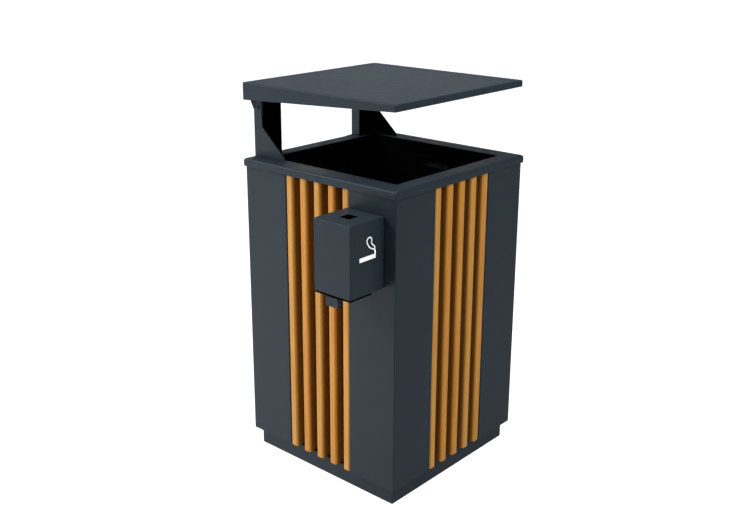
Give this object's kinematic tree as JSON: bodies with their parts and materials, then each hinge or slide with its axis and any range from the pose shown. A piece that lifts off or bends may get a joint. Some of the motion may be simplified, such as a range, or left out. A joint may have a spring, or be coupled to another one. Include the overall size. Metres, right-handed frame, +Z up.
{
  "type": "litter bin",
  "caption": "Square steel street litter bin with upright timber slats, a tilting lid with a flat canopy on two rear posts, a lift-out liner and a side ash box.",
  "frame": {"origin": "centre of the body's footprint, on the underside of the base plate, which stands on the ground", "axes": "+Z up; litter is thrown in from -Y, under the free edge of the canopy; the ash box is on -X; the posts and the lid hinges are at +Y"},
  "size_m": [0.56, 0.47, 0.9],
  "materials": {
    "anthracite_coat": "satin anthracite powder coat with a fine texture",
    "black_coat": "matt black powder coat",
    "timber": "oiled warm brown timber, straight grain along the slat",
    "zinc_steel": "zinc plated",
    "rubber": "matt black rubber"
  },
  "bodies": {
    "bin_body": {"ash_box_bolt_lower": "zinc_steel", "ash_box_bolt_upper": "zinc_steel", "ash_box_bracket": "anthracite_coat", "ash_box_floor": "anthracite_coat", "ash_box_housing": "anthracite_coat", "ash_flap_pin": "zinc_steel", "base_plate": "anthracite_coat", "body_hinge_leaf_left": "zinc_steel", "body_hinge_leaf_right": "zinc_steel", "corner_panel_front_left": "anthracite_coat", "corner_panel_front_right": "anthracite_coat", "corner_panel_rear_left": "anthracite_coat", "corner_panel_rear_right": "anthracite_coat", "hinge_pin_left": "zinc_steel", "hinge_pin_right": "zinc_steel", "lid_buffer_front_left": "rubber", "lid_buffer_front_right": "rubber", "lid_buffer_rear_left": "rubber", "lid_buffer_rear_right": "rubber", "liner": "black_coat", "lock_keeper": "zinc_steel", "lower_frame": "anthracite_coat", "plinth_frame": "anthracite_coat", "slat_front_1": "timber", "slat_front_2": "timber", "slat_front_3": "timber", "slat_front_4": "timber", "slat_front_5": "timber", "slat_left_1": "timber", "slat_left_2": "timber", "slat_left_3": "timber", "slat_left_4": "timber", "slat_left_5": "timber", "slat_rear_1": "timber", "slat_rear_2": "timber", "slat_rear_3": "timber", "slat_rear_4": "timber", "slat_rear_5": "timber", "slat_right_1": "timber", "slat_right_2": "timber", "slat_right_3": "timber", "slat_right_4": "timber", "slat_right_5": "timber", "upper_frame": "anthracite_coat"},
    "lid": {"canopy": "anthracite_coat", "canopy_bracket_left": "anthracite_coat", "canopy_bracket_right": "anthracite_coat", "canopy_gusset_left": "anthracite_coat", "canopy_gusset_right": "anthracite_coat", "canopy_post_left": "anthracite_coat", "canopy_post_right": "anthracite_coat", "canopy_stiffener": "anthracite_coat", "lid_hinge_leaf_left": "zinc_steel", "lid_hinge_leaf_right": "zinc_steel", "lock_barrel": "zinc_steel", "rim_frame": "anthracite_coat"},
    "lid_lock": {"lock_cam": "zinc_steel", "lock_core": "zinc_steel"},
    "ash_flap": {"ash_flap": "black_coat", "ash_flap_lug": "anthracite_coat"}
  },
  "joints": [
    {"name": "lid_hinge", "type": "hinge", "parent": "bin_body", "child": "lid", "pos_m": [0, 0.236, 0.709], "axis": [-1, 0, 0], "range_deg": [0, 95]},
    {"name": "lid_lock_turn", "type": "hinge", "parent": "lid", "child": "lid_lock", "pos_m": [0, -0.1935, 0.713], "axis": [0, -1, 0], "range_deg": [0, 90]},
    {"name": "ash_flap_hinge", "type": "hinge", "parent": "bin_body", "child": "ash_flap", "pos_m": [-0.262, -0.14475, 0.513], "axis": [0, -1, 0], "range_deg": [0, 90], "stiffness_Nm_per_rad": 0.08, "springref_deg": -57.3}
  ]
}
